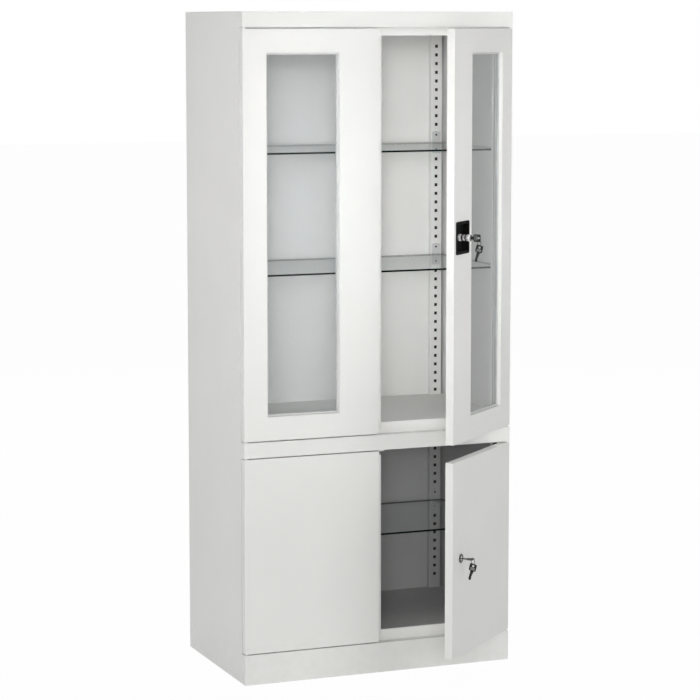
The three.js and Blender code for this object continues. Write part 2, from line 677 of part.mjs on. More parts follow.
// A key in its lock; the ring hangs from its bow and carries the spare key below
function addKeys(lock, level, tip, showing, turn) {
  const inLock = new THREE.Group();
  inLock.position.x = tip - (KEY_BLADE - showing);
  inLock.rotation.x = turn ? Math.PI / 2 : 0;
  lock.add(inLock);
  piece(inLock, `${level}_lock_key`, keyShape(), keySteel);

  const hang = new THREE.Group();
  hang.position.x = inLock.position.x + keyHolePlace;
  hang.rotation.z = THREE.MathUtils.degToRad(RING_LEAN);
  lock.add(hang);
  const ringMiddle = turn ? [0, -webDrop, -(KEY_BOW / 2 + KEY_HOLE) / 2] : [0, -holeSlack - RING_RADIUS, 0];
  const ring = new THREE.TorusGeometry(RING_RADIUS, RING_WIRE, RING_SIDES, RING_STEPS);
  piece(hang, `${level}_key_ring`, solid(ring.rotateY(Math.PI / 2).translate(...ringMiddle)), keySteel);

  const spare = new THREE.Group();
  spare.position.set(0, ringMiddle[1] - RING_RADIUS, ringMiddle[2]);
  spare.rotation.z = Math.PI / 2 - THREE.MathUtils.degToRad(SPARE_LEAN + RING_LEAN);
  hang.add(spare);
  piece(spare, `${level}_spare_key`, keyShape().translate([-keyHolePlace - holeSlack, 0, 0]), keySteel);
}

// Rods stand a little inside the door's edges while the lock is open
function addRods(door, level, [low, high], lockHeight) {
  const top = [lockHeight - ROD_TAIL, high - ROD_SHY];
  const bottom = [low + ROD_SHY, lockHeight + ROD_TAIL];
  piece(door, `${level}_door_top_rod`, bar(ROD_RADIUS, [-lockU - rodOffset, rodY], top), galvanised);
  piece(door, `${level}_door_bottom_rod`, bar(ROD_RADIUS, [-lockU + rodOffset, rodY], bottom), galvanised);
}

function boreForRods(leaf, [low, high]) {
  const topBore = bar(rodHole, [-lockU - rodOffset, rodY], past([high - SHEET, high]));
  const bottomBore = bar(rodHole, [-lockU + rodOffset, rodY], past([low, low + SHEET]));
  return leaf.subtract(topBore).subtract(bottomBore);
}

function addUpperRightDoor() {
  const door = doorGroup(1, UPPER_AJAR_ANGLE);
  const lockHeight = (upperDoor[0] + upperDoor[1]) / 2;
  const reach = CUP_BODY / 2 + SEAM;
  const cupHole = block(
    grow([-lockU, -lockU], reach), past([doorFace, doorFace + SHEET]), grow([lockHeight, lockHeight], reach));
  piece(door, 'upper_right_door_leaf', boreForRods(glazedLeaf(-1), upperDoor).subtract(cupHole), whiteCoat);
  piece(door, 'upper_right_gasket', windowGasket(-1), greyRubber);
  piece(door, 'upper_right_pane', windowPane(-1), clearGlass);
  addRods(door, 'upper', upperDoor, lockHeight);
  const lock = lockGroup(door, lockHeight);
  piece(lock, 'upper_lock_cup', lockCup(), blackPlastic);
  piece(lock, 'upper_lock_case', lockCase(), galvanised);
  piece(lock, 'upper_lock_knob', lockKnob(), chrome);
  addKeys(lock, 'upper', KNOB_TIP, UPPER_KEY_SHOWING, false);
}

function addLowerRightDoor() {
  const door = doorGroup(1, LOWER_AJAR_ANGLE);
  const lockHeight = (lowerDoor[0] + lowerDoor[1]) / 2;
  const barrelHole = new THREE.CylinderGeometry(BARREL_RADIUS + SEAM, BARREL_RADIUS + SEAM, 2 * SHEET, ROUND);
  barrelHole.translate(-lockU, doorFace + SHEET / 2, lockHeight);
  const leaf = boreForRods(plainLeaf(-1), lowerDoor).subtract(solid(barrelHole));
  piece(door, 'lower_right_door_leaf', leaf, whiteCoat);
  addRods(door, 'lower', lowerDoor, lockHeight);
  const lock = lockGroup(door, lockHeight);
  piece(lock, 'lower_lock_barrel', lockBarrel(), chrome);
  piece(lock, 'lower_lock_case', lockCase(), galvanised);
  piece(lock, 'lower_lock_plug', lockPlug(), chrome);
  addKeys(lock, 'lower', BARREL_PROUD, LOWER_KEY_SHOWING, true);
}

// Carcass
piece(cabinet, 'top_cover', topCover(), whiteCoat);
piece(cabinet, 'middle_crossbar', middleCrossbar(), whiteCoat);
piece(cabinet, 'plinth_front', plinthFront(), whiteCoat);
piece(cabinet, 'back_panel', backPanel(), whiteCoat);
piece(cabinet, 'middle_floor', middleFloor(), whiteCoat);
piece(cabinet, 'bottom_floor', floorPan(bottomFloorTop, PLINTH_HEIGHT), whiteCoat);
for (const [sideName, side] of sides) {
  piece(cabinet, `${sideName}_side_panel`, sidePanel(side), whiteCoat);
  addPivotPins(sideName, side);
}

// Shelving
for (const corner of corners) {
  piece(cabinet, `upright_${corner.name}`, upright(corner), whiteCoat);
}
for (const [level, hookHole] of shelves) {
  piece(cabinet, `glass_shelf_${level}`, glassShelf(hookHole), clearGlass);
  for (const corner of corners) {
    piece(cabinet, `bracket_${level}_${corner.name}`, bracket(corner, hookHole), whiteCoat);
  }
}

// Doors
addLeftDoors();
addUpperRightDoor();
addLowerRightDoor();

export default cabinet;
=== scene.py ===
# %% [markdown]
# # A glass door medical cabinet
# This lesson dresses a jointed steel cabinet: a white carcass, two glazed doors above, two plain doors
# below, glass shelves on hooked brackets, and two rod locks with their keys. The folded sheets could be
# modelled again here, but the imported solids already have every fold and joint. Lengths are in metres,
# except in the frame of a lock, where they are in millimetres.

# %% Load the frame
import json
import math

import bmesh
import bpy
from mathutils import Matrix, Vector


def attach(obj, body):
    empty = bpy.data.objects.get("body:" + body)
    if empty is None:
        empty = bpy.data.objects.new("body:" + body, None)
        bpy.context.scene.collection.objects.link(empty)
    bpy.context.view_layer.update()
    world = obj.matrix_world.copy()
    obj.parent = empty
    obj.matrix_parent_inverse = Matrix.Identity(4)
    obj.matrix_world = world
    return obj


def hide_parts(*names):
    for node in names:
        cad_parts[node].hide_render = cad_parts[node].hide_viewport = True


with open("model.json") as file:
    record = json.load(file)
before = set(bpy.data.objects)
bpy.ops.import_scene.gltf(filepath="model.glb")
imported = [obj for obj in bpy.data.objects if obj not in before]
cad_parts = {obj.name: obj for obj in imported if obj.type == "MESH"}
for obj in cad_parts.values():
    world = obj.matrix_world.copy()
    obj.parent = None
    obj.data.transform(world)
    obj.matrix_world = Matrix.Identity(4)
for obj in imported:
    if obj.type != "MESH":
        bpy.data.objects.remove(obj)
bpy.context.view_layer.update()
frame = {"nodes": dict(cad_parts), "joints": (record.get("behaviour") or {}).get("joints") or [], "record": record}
nodes = frame["nodes"]

# %% [markdown]
# ## Camera
# A product picture is taken from some distance with a long lens, which keeps the upright edges almost
# parallel. The camera stands in front of the left half of the cabinet, a little below its top, and
# looks slightly down. A constraint could aim it, but two plain angles can be read and changed by
# themselves. A small lens shift lowers the view without a further tilt.

# %% Place the camera
CAMERA_PLACE = (-2.5984, -6.2595, 1.7678)
CAMERA_TURN = math.radians(21.925)
CAMERA_TILT = math.radians(6.594)
CAMERA_LENS = 129.64
CAMERA_SENSOR = 36
CAMERA_SHIFT = -0.05
camera_data = bpy.data.cameras.new("photo_camera")
camera_data.sensor_width = CAMERA_SENSOR
camera_data.lens = CAMERA_LENS
camera_data.shift_y = CAMERA_SHIFT
camera = bpy.data.objects.new("photo_camera", camera_data)
camera.location = CAMERA_PLACE
camera.rotation_euler = (math.pi / 2 - CAMERA_TILT, 0, -CAMERA_TURN)
bpy.context.scene.collection.objects.link(camera)
bpy.context.scene.camera = camera
bpy.context.scene.view_settings.view_transform = "Standard"
print("camera at", tuple(round(v, 3) for v in camera.location))

# %% [markdown]
# ## Shader maths
# No finish on a real object is one flat value, so most inputs of a shader are sums and products of
# noise. They could be wired in the Shader Editor, one Math node at a time. Here `Value` wraps an output
# socket, and plain Python arithmetic on it adds the Math nodes, which is shorter to read.


# %% Wrap a socket
class Value:
    def __init__(self, shader, socket):
        self.shader = shader
        self.socket = socket

    def math(self, operation, first, second=0.0):
        return self.shader.add("ShaderNodeMath", {"operation": operation}, {0: first, 1: second})

    def __sub__(self, other):
        return self.math("SUBTRACT", self, other)

    def __rsub__(self, other):
        return self.math("SUBTRACT", other, self)

    def __mul__(self, other):
        return self.math("MULTIPLY", self, other)

    def __rmul__(self, other):
        return self.math("MULTIPLY", other, self)

    def __gt__(self, other):
        return self.math("GREATER_THAN", self, other)

    def __lt__(self, other):
        return self.math("LESS_THAN", self, other)

    def __abs__(self):
        return self.math("ABSOLUTE", self)

    def larger(self, other):
        return self.math("MAXIMUM", self, other)


print("made", Value.__name__)

# %% [markdown]
# ## Shader trees
# `Shader` owns the node tree of a material or of the world. Its method `add` makes any node from its
# type, its settings and what goes into its sockets. The other methods name the few nodes that every
# finish uses, so a finish below reads as a short list of what has happened to its surface.


# %% Wrap a node tree
class Shader:
    def __init__(self, name, family="materials", output="ShaderNodeOutputMaterial"):
        self.block = getattr(bpy.data, family).new(name)
        self.block.use_nodes = True
        self.tree = self.block.node_tree
        self.tree.nodes.clear()
        self.out = self.tree.nodes.new(output)

    def add(self, kind, settings=None, inputs=None, output=0):
        node = self.tree.nodes.new(kind)
        for key, value in (settings or {}).items():
            setattr(node, key, value)
        for key, value in (inputs or {}).items():
            if isinstance(value, Value):
                self.tree.links.new(value.socket, node.inputs[key])
            else:
                node.inputs[key].default_value = value
        return Value(self, node.outputs[output])

    def place(self):
        return self.add("ShaderNodeTexCoord", output="Object")

    def axis(self, vector, name):
        return self.add("ShaderNodeSeparateXYZ", None, {"Vector": vector}, name)

    def noise(self, scale, detail=2.0, rough=0.5, stretch=None):
        where = self.place()
        if stretch:
            where = self.add("ShaderNodeMapping", None, {"Vector": where, "Scale": stretch})
        inputs = {"Vector": where, "Scale": scale, "Detail": detail, "Roughness": rough}
        return self.add("ShaderNodeTexNoise", None, inputs)

    def ramp(self, value, low, high, start=0.0, end=1.0):
        return self.add("ShaderNodeMapRange", None, {
            "Value": value, "From Min": low, "From Max": high, "To Min": start, "To Max": end})

    def mix(self, factor, first, second):
        return self.add("ShaderNodeMix", {"data_type": "RGBA"}, {0: factor, 6: first, 7: second}, 2)

    def blend(self, factor, first, second):
        return self.add("ShaderNodeMixShader", None, {0: factor, 1: first, 2: second})

    def bump(self, height, strength, distance):
        return self.add("ShaderNodeBump", None,
                        {"Height": height, "Strength": strength, "Distance": distance})

    def surface(self, **inputs):
        named = {key.replace("_", " "): value for key, value in inputs.items()}
        return self.add("ShaderNodeBsdfPrincipled", None, named)

    def finish(self, surface):
        self.tree.links.new(surface.socket, self.out.inputs["Surface"])
        return self.block


def grey(level):
    return (level, level, level, 1.0)


print("made", Shader.__name__)

# %% [markdown]
# ## White powder coat
# The steel sheets are powder coated: a dry paint, baked on. An image could be painted for it, but noise
# in object coordinates needs no unwrapping and never repeats. The tone drifts a little over a panel, a
# fine orange peel breaks up the shine, hands have wiped the gloss unevenly, and a grey film lies low on
# the plinth. Faces that look inwards get a whiter tone, which is painted light, except in the lower
# cupboard, where they get a grey tone, which is painted shade. Both faces of a sheet belong to one piece,
# so a mask made from the place tells them apart.

# %% Find where the inside begins
HALF_SHEET = 0.0005
JAMB_REAR = 0.012
LOWER_TOP = 0.66


def span(name, axis):
    values = [v.co[axis] for v in nodes[name].data.vertices]
    return min(values), max(values)


SIDE_SHEET_MIDDLE = span("right_side_panel", 0)[1] - HALF_SHEET
BACK_SHEET_MIDDLE = sum(span("back_panel", 1)) / 2
print("inside of x", round(SIDE_SHEET_MIDDLE, 4), "and y", JAMB_REAR, "to", round(BACK_SHEET_MIDDLE, 4))

# %% Make the coat
OUTER_TONES = ((0.872, 0.875, 0.850, 1), (0.848, 0.852, 0.828, 1))
# Painted light: the inside tones are the same white coat made whiter, so the cupboard looks better lit.
INNER_LIT_TONES = ((0.945, 0.942, 0.922, 1), (0.925, 0.922, 0.902, 1))
# Painted shade: the inside of the lower cupboard is the same white coat made grey.
LOWER_SHADE_TONES = ((0.560, 0.562, 0.560, 1), (0.480, 0.482, 0.482, 1))
BRACKET_TONES = ((0.760, 0.762, 0.760, 1), (0.690, 0.692, 0.692, 1))
FILM_TONE = (0.750, 0.742, 0.718, 1)
FILM_TOP = 0.16
FILM_MOST = 0.35


def make_coat(name, tones, inside_tones=None):
    s = Shader(name)
    x, y, z = [s.axis(s.place(), axis) for axis in "XYZ"]
    drift = s.ramp(s.noise(scale=3.2, detail=3), low=0.35, high=0.68)
    low_down = s.ramp(z, low=FILM_TOP, high=0.0, start=0.0, end=FILM_MOST)
    film = low_down * s.ramp(s.noise(scale=38, detail=4, rough=0.62), low=0.42, high=0.66)
    color = s.mix(film, s.mix(drift, *tones), FILM_TONE)
    if inside_tones:
        facing_in = (abs(x) < SIDE_SHEET_MIDDLE) * (y > JAMB_REAR) * (y < BACK_SHEET_MIDDLE)
        # Inside faces get the whiter tones of painted light, and below LOWER_TOP the grey tones of painted shade.
        inside = s.mix(z < LOWER_TOP, s.mix(drift, *inside_tones), s.mix(drift, *LOWER_SHADE_TONES))
        color = s.mix(facing_in, color, inside)
    wiped = s.ramp(s.noise(scale=9, detail=5, rough=0.6), low=0.3, high=0.72, start=0.40, end=0.53)
    peel = s.bump(s.noise(scale=620), strength=0.10, distance=0.0006)
    return s.finish(s.surface(Base_Color=color, Roughness=wiped, Specular_IOR_Level=0.3, Normal=peel))


coat = make_coat("white_powder_coat", OUTER_TONES)
side_coat = make_coat("side_powder_coat", OUTER_TONES, INNER_LIT_TONES)
# Painted light: this is the same white coat made whiter, for the back panel, uprights and floors.
lit_inner_coat = make_coat("painted_lit_inner_coat", INNER_LIT_TONES, INNER_LIT_TONES)
bracket_coat = make_coat("bracket_coat", BRACKET_TONES, BRACKET_TONES)
print("made", ", ".join(m.name for m in (coat, side_coat, lit_inner_coat, bracket_coat)))

# %% [markdown]
# ## Glass
# The panes and the shelves are float glass. A Glass BSDF would bend the light twice in each sheet and
# leave the cupboard dark and noisy. Here light goes straight through, and Fresnel mixes in a clear
# reflection on the front faces. Layer Weight gives a pane a deeper tint where it is seen at a slant. A
# shelf's edges are ground. Seen edge on, float glass is a deep bottle green, so faces that don't point
# along the thin axis get a dark, duller surface.

# %% Make the glasses
SHELF_TINT = (0.970, 0.980, 0.975, 1)
PANE_TINT = (0.945, 0.953, 0.960, 1)
PANE_SLANT_TINT = (0.790, 0.800, 0.805, 1)
GLASS_EDGE = (0.004, 0.010, 0.008, 1)
GLASS_IOR = 1.5


def make_glass(name, tint, slant_tint, thin_axis=None):
    s = Shader(name)
    facing = s.add("ShaderNodeLayerWeight", None, {"Blend": 0.5}, "Facing")
    square_on = s.add("ShaderNodeBsdfTransparent", None, {"Color": tint})
    slanted = s.add("ShaderNodeBsdfTransparent", None, {"Color": slant_tint})
    through = s.blend(s.ramp(facing, low=0.2, high=0.7), square_on, slanted)
    smear = s.ramp(s.noise(scale=6, detail=4, rough=0.6), low=0.4, high=0.75, start=0.01, end=0.06)
    shine = s.surface(Base_Color=grey(0.95), Metallic=1.0, Roughness=smear)
    leaving = s.add("ShaderNodeNewGeometry", output="Backfacing")
    mirror = s.add("ShaderNodeFresnel", None, {"IOR": GLASS_IOR}) * (1.0 - leaving)
    face = s.blend(mirror, through, shine)
    if thin_axis is None:
        return s.finish(face)
    is_edge = abs(s.axis(s.add("ShaderNodeTexCoord", output="Normal"), thin_axis)) < 0.5
    ground = s.ramp(s.noise(scale=140, detail=3), low=0.3, high=0.7, start=0.18, end=0.34)
    edge = s.surface(Base_Color=GLASS_EDGE, Roughness=ground, Specular_IOR_Level=0.1)
    return s.finish(s.blend(is_edge, face, edge))


shelf_glass = make_glass("shelf_glass", SHELF_TINT, SHELF_TINT, "Z")
pane_glass = make_glass("pane_glass", PANE_TINT, PANE_SLANT_TINT)
print("made", shelf_glass.name, "and", pane_glass.name)

# %% [markdown]
# ## Chrome, and nickel with a painted dark reflection
# The lock's knob and plug are bright chrome with faint wipe marks. The flange of the lower lock and the
# bands round the knob are nickel made almost black, a painted dark reflection. A mirror finish would show
# only the white room, so the chrome is half metallic, and noise moves the tone and the roughness of both.


# %% Make the plated metals
def make_chrome():
    s = Shader("bright_chrome")
    marks = s.ramp(s.noise(scale=420, detail=5, rough=0.65), low=0.35, high=0.75, start=0.06, end=0.22)
    tone = s.mix(s.noise(scale=55, detail=3), grey(0.90), grey(0.76))
    return s.finish(s.surface(Base_Color=tone, Metallic=0.5, Roughness=marks))


# Painted dark reflection: a near-black nickel tone stands in for the dark room that chrome would mirror.
def make_dark_reflection_nickel():
    s = Shader("dark_reflection_nickel")
    reflection_mottle = s.noise(scale=240, detail=5, rough=0.65)
    tone = s.mix(s.ramp(reflection_mottle, low=0.35, high=0.7), grey(0.12), grey(0.03))
    rough = s.ramp(reflection_mottle, low=0.3, high=0.7, start=0.2, end=0.38)
    return s.finish(s.surface(Base_Color=tone, Metallic=0.8, Roughness=rough))


chrome = make_chrome()
dark_reflection_nickel = make_dark_reflection_nickel()
print("made", chrome.name, "and", dark_reflection_nickel.name)

# %% [markdown]
# ## Key steel, zinc and painted hole shade
# The keys are dark steel, scratched along their length, which a stretched noise gives. Pins, rods and
# rivets are zinc plated, and Voronoi cells make the soft spangle of zinc. Behind the punched holes lies
# a near-black, rough, non-metallic finish: painted shade for the dark inside of each hole.


# %% Make the plain metals
def make_key_steel():
    s = Shader("key_steel")
    scratch = s.noise(scale=260, detail=6, rough=0.7, stretch=(1, 1, 9))
    tone = s.mix(s.ramp(scratch, low=0.35, high=0.7), (0.022, 0.021, 0.020, 1), grey(0.006))
    rough = s.ramp(scratch, low=0.3, high=0.75, start=0.18, end=0.42)
    grooves = s.bump(scratch, strength=0.12, distance=0.0003)
    return s.finish(s.surface(Base_Color=tone, Metallic=0.6, Roughness=rough, Normal=grooves))


def make_zinc():
    s = Shader("zinc_plate")
    cells = s.add("ShaderNodeTexVoronoi", None, {"Vector": s.place(), "Scale": 160.0}, "Distance")
    tone = s.mix(s.ramp(cells, low=0.0, high=0.8), (0.52, 0.53, 0.54, 1), (0.68, 0.69, 0.70, 1))
    rough = s.ramp(s.noise(scale=210, detail=3), low=0.3, high=0.7, start=0.3, end=0.5)
    return s.finish(s.surface(Base_Color=tone, Metallic=1.0, Roughness=rough))


# Painted shade: near-black, so that the punched holes read as dark.
def make_hole_shade_finish():
    s = Shader("painted_hole_shade")
    scale = s.noise(scale=90, detail=5, rough=0.65)
    tone = s.mix(s.ramp(scale, low=0.3, high=0.7), (0.010, 0.010, 0.011, 1), (0.028, 0.027, 0.026, 1))
    rough = s.ramp(scale, low=0.3, high=0.7, start=0.62, end=0.85)
    return s.finish(s.surface(Base_Color=tone, Roughness=rough))


key_steel = make_key_steel()
zinc = make_zinc()
hole_shade_finish = make_hole_shade_finish()
print("made", ", ".join(m.name for m in (key_steel, zinc, hole_shade_finish)))

# %% [markdown]
# ## Plastic and rubber
# The dish of the upper lock is moulded in black plastic with a fine grain, and a grey rubber gasket
# holds each pane. Both are dull, so little depends on reflections. One noise drives roughness and bump
# together, because the same grain causes both.


# %% Make the plastic and the rubber
def make_black_plastic():
    s = Shader("black_moulding")
    grain = s.noise(scale=900)
    tone = s.mix(s.noise(scale=30, detail=3), grey(0.002), grey(0.004))
    rough = s.ramp(grain, low=0.3, high=0.7, start=0.42, end=0.56)
    pores = s.bump(grain, strength=0.15, distance=0.0004)
    return s.finish(s.surface(Base_Color=tone, Roughness=rough, Specular_IOR_Level=0.025, Normal=pores))


def make_rubber():
    s = Shader("glazing_rubber")
    dust = s.noise(scale=45, detail=5, rough=0.65)
    tone = s.mix(s.ramp(dust, low=0.35, high=0.7), (0.640, 0.642, 0.632, 1), (0.730, 0.732, 0.722, 1))
    rough = s.ramp(dust, low=0.3, high=0.7, start=0.6, end=0.8)
    skin = s.bump(s.noise(scale=500), strength=0.2, distance=0.0004)
    return s.finish(s.surface(Base_Color=tone, Roughness=rough, Normal=skin))


black_plastic = make_black_plastic()
rubber = make_rubber()
print("made", black_plastic.name, "and", rubber.name)

# %% [markdown]
# ## Dress the solids
# On the real cabinet each sheet is folded, and a fold has a small radius that catches the light. The
# solids have sharp folds. Their meshes could be edited, but modifiers leave them as they are: Weld
# joins the triangles, Bevel rounds the folds, and Weighted Normal keeps the large faces looking flat.
# The perforated uprights are left crisp, as punched holes are.

# %% Give every solid its finish and its rounded folds
slot_of = {part["node"]: part["material_slot"] for part in frame["record"]["subparts"]}
slot_finish = {
    "white_coat": coat,
    "clear_glass": shelf_glass,
    "galvanised_steel": zinc,
    "chrome": chrome,
    "key_steel": key_steel,
    "black_plastic": black_plastic,
    "grey_rubber": rubber,
}
WELD_REACH = 1e-5
FOLD_RADIUS = 0.00045
FOLD_SEGMENTS = 2
FOLD_LEAST_ANGLE = math.radians(40)
FLAT_FACE_WEIGHT = 90


def finish_of(name):
    if name.endswith("_pane"):
        return pane_glass
    if name.startswith(("back_panel", "upright")) or name.endswith("_floor"):
        return lit_inner_coat
    if name.startswith("bracket"):
        return bracket_coat
    if name.endswith("_side_panel"):
        return side_coat
    return slot_finish[slot_of[name]]


def soften(thing):
    weld = thing.modifiers.new("weld", "WELD")
    weld.merge_threshold = WELD_REACH
    bevel = thing.modifiers.new("fold", "BEVEL")
    bevel.width = FOLD_RADIUS
    bevel.segments = FOLD_SEGMENTS
    bevel.limit_method = "ANGLE"
    bevel.angle_limit = FOLD_LEAST_ANGLE
    flat = thing.modifiers.new("flat_faces", "WEIGHTED_NORMAL")
    flat.weight = FLAT_FACE_WEIGHT
    flat.keep_sharp = True


for name, thing in nodes.items():
    thing.data.materials.clear()
    thing.data.materials.append(finish_of(name))
    if slot_of[name] in ("white_coat", "grey_rubber") and not name.startswith("upright"):
        soften(thing)
print("dressed", len(nodes), "solids")

# %% [markdown]
# ## Turned and lofted shapes
# The lock's round parts are turned on a lathe, and its dish is drawn from a rounded square. Primitives
# with many modifiers could make them, but a profile is what a drawing of such a part shows. `filleted`
# rounds the corners of a profile, `spun` turns it about the lock's axis, and `loft` joins any loops. In
# the frame of a lock X points out of the door, Y points up, and lengths are in millimetres. One matrix
# then carries each shape to its place.

# %% Write the shape helpers
MM = 0.001
MERGE_REACH = 1e-4
TURNED_SHARP = math.radians(35)
SPIN_STEPS = 56
FILLET_STEPS = 4
CORNER_STEPS = 8


def smoothed(mesh, sharp_angle):
    mesh.shade_smooth()
    mesh.set_sharp_from_angle(angle=sharp_angle)
    return mesh


def filleted(corners):
    points = []
    for i, (x, y, reach) in enumerate(corners):
        corner = Vector((x, y))
        if not reach:
            points.append(tuple(corner))
            continue
        before = Vector(corners[i - 1][:2]) - corner
        after = Vector(corners[(i + 1) % len(corners)][:2]) - corner
        first = corner + before.normalized() * reach
        last = corner + after.normalized() * reach
        for step in range(FILLET_STEPS + 1):
            t = step / FILLET_STEPS
            points.append(tuple(first * (1 - t) ** 2 + corner * 2 * t * (1 - t) + last * t ** 2))
    return points


def loft(name, loops, matrix, closed=False):
    bm = bmesh.new()
    rings = [[bm.verts.new(point) for point in loop] for loop in loops]
    for low, high in zip(rings, rings[1:] + rings[:1] if closed else rings[1:]):
        for i in range(len(low)):
            j = (i + 1) % len(low)
            bm.faces.new((low[i], low[j], high[j], high[i]))
    if not closed:
        bm.faces.new(rings[0])
        bm.faces.new(rings[-1])
    bmesh.ops.remove_doubles(bm, verts=bm.verts, dist=MERGE_REACH)
    bmesh.ops.recalc_face_normals(bm, faces=bm.faces)
    mesh = bpy.data.meshes.new(name)
    bm.to_mesh(mesh)
    bm.free()
    mesh.transform(matrix @ Matrix.Scale(MM, 4))
    return smoothed(mesh, TURNED_SHARP)


def spun(name, profile, matrix, closed=False):
    turns = [2 * math.pi * i / SPIN_STEPS for i in range(SPIN_STEPS)]
    loops = [[(x, r * math.cos(a), r * math.sin(a)) for a in turns] for x, r in profile]
    return loft(name, loops, matrix, closed)


def rounded_square(x, half, corner):
    points = []
    reach = half - corner
    for quarter in range(4):
        cy = reach if quarter in (0, 3) else -reach
        cz = reach if quarter in (0, 1) else -reach
        for step in range(CORNER_STEPS + 1):
            a = math.pi / 2 * (quarter + step / CORNER_STEPS)
            points.append((x, cy + corner * math.cos(a), cz + corner * math.sin(a)))
    return points


print("shape helpers ready")

# %% [markdown]
# ## Place a lock
# Each lock sits in a right-hand door, which stands ajar and moves. Its place could be typed in, but the
# frame already knows the axis that the lock turns about, so the matrix comes from that joint.
# `to_object` then names the body that a piece rides on and the solids that it takes the place of.

# %% Find the locks
joints = {joint["name"]: joint for joint in frame["joints"]}


def lock_frame(level):
    joint = joints[level + "_lock_turn"]
    out = -Vector(joint["axis"])
    up = Vector((0, 0, 1))
    matrix = Matrix((out, up, out.cross(up))).transposed().to_4x4()
    matrix.translation = Vector(joint["pos_m"])
    return matrix


def to_object(name, mesh, finish, body, slot, *replaced):
    mesh.materials.clear()
    mesh.materials.append(finish)
    thing = bpy.data.objects.new(name, mesh)
    bpy.context.scene.collection.objects.link(thing)
    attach(thing, body)
    if replaced:
        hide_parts(*replaced)


upper = lock_frame("upper")
lower = lock_frame("lower")
print("locks at", [tuple(round(v, 3) for v in home.translation) for home in (upper, lower)])

# %% [markdown]
# ## The upper lock
# A black moulded dish is let into the door, and a chrome knob stands in it, with a ring and a rounded
# head. Dark bands round its neck and on its end are a painted dark reflection. They could be painted on
# by a mask, but a thin ring of its own keeps a clean edge. A corner below gives the place along the axis,
# the half width or radius, and the reach of its fillet.

# %% Make the dish and the knob
AXIS = 0.01
DISH_WALL = 36.0
DISH_OUTER_CORNER = 6.0
DISH_INNER_CORNER = 4.6
DISH = [(-12.0, 37.0, 0.4), (0.3, 37.0, 0), (0.3, 43.5, 0.4), (1.8, 43.5, 0.7), (1.8, 35.5, 1.3),
        (-10.5, 35.2, 2.0), (-10.5, 33.0, 0)]
KNOB = [(-10.2, AXIS, 0), (-10.2, 9.4, 0.4), (-4.1, 9.4, 0.6), (-4.1, 7.4, 0.9), (5.0, 7.4, 0.5),
        (5.0, 8.4, 0.4), (6.8, 8.4, 0.4), (6.8, 7.4, 0.5), (14.0, 7.4, 0.7), (14.0, 9.4, 0.9),
        (24.0, 9.4, 1.5), (24.0, 6.2, 0.2), (23.4, 6.0, 0), (23.4, AXIS, 0)]
# Painted dark reflection: thin near-black rings on the chrome knob.
KNOB_DARK_REFLECTION_BANDS = [(-1.6, 2.6, 6.8, 7.7), (8.4, 12.2, 6.8, 7.7), (23.2, 24.1, 5.2, 8.1)]

dish_loops = []
for x, half in filleted(DISH):
    corner = DISH_OUTER_CORNER if half > DISH_WALL else DISH_INNER_CORNER
    dish_loops.append(rounded_square(x, half, corner))
dish = loft("lock_dish", dish_loops, upper)
to_object("lock_dish", dish, black_plastic, "upper_right_door", "black_plastic", "upper_lock_cup")
knob = spun("lock_knob", filleted(KNOB), upper)
to_object("lock_knob", knob, chrome, "upper_knob", "chrome", "upper_lock_knob")
for number, (start, end, inner, outer) in enumerate(KNOB_DARK_REFLECTION_BANDS):
    ring = [(start, inner), (start, outer), (end, outer), (end, inner)]
    band = spun(f"knob_dark_reflection_band_{number}", ring, upper, closed=True)
    to_object(f"knob_dark_reflection_band_{number}", band, dark_reflection_nickel, "upper_knob", "chrome")
print("upper lock: dish, knob and", len(KNOB_DARK_REFLECTION_BANDS), "bands")

# %% [markdown]
# ## The lower lock
# This is a plain cylinder lock. A round nickel flange, made dark by a painted dark reflection, lies on the
# door, and a chrome plug with the key turns inside it. They are two profiles and not one, because only the plug
# turns.

# %% Make the barrel and the plug
BARREL = [(-12.0, 5.9, 0), (-12.0, 9.0, 0), (0.3, 9.0, 0), (0.3, 12.5, 0.3), (2.2, 12.5, 0.8),
          (3.0, 10.3, 0.9), (3.0, 5.9, 0.6)]
PLUG = [(-12.0, AXIS, 0), (-12.0, 5.6, 0), (2.5, 5.6, 0.6), (2.5, AXIS, 0)]

# The flange's near-black tone is a painted dark reflection.
barrel = spun("lock_barrel", filleted(BARREL), lower, closed=True)
to_object("lock_barrel", barrel, dark_reflection_nickel, "lower_right_door", "chrome", "lower_lock_barrel")
plug = spun("lock_plug", filleted(PLUG), lower)
to_object("lock_plug", plug, chrome, "lower_plug", "chrome", "lower_lock_plug")
print("lower lock: barrel and plug")

# %% [markdown]
# ## Flat and wire shapes
# A key is cut from flat bar, and a split ring is wound from wire. Both could be extruded by hand in
# Edit Mode, but curves do it with fewer steps: a filled 2D curve with holes and a rounded edge for the
# bar, and a bevelled 3D curve for the wire. Each curve then becomes a mesh.

# %% Write the curve helpers
CUT_SHARP = math.radians(40)
BEVEL_STEPS = 3


def mesh_of(maker, name):
    bpy.context.scene.collection.objects.link(maker)
    bpy.context.view_layer.update()
    graph = bpy.context.evaluated_depsgraph_get()
    mesh = bpy.data.meshes.new_from_object(maker.evaluated_get(graph))
    bpy.data.objects.remove(maker)
    mesh.name = name
    return mesh


def curve_data(name, dimensions, edge):
    data = bpy.data.curves.new(name, "CURVE")
    data.dimensions = dimensions
    data.bevel_depth = edge
    data.bevel_resolution = BEVEL_STEPS
    return data


def add_spline(data, points, cyclic):
    spline = data.splines.new("POLY")
    spline.points.add(len(points) - 1)
    for target, point in zip(spline.points, points):
        target.co = (*point, 1)
    spline.use_cyclic_u = cyclic


def curve_mesh(name, data, matrix):
    mesh = mesh_of(bpy.data.objects.new(name + "_maker", data), name)
    mesh.transform(matrix @ Matrix.Scale(MM, 4))
    return smoothed(mesh, CUT_SHARP)


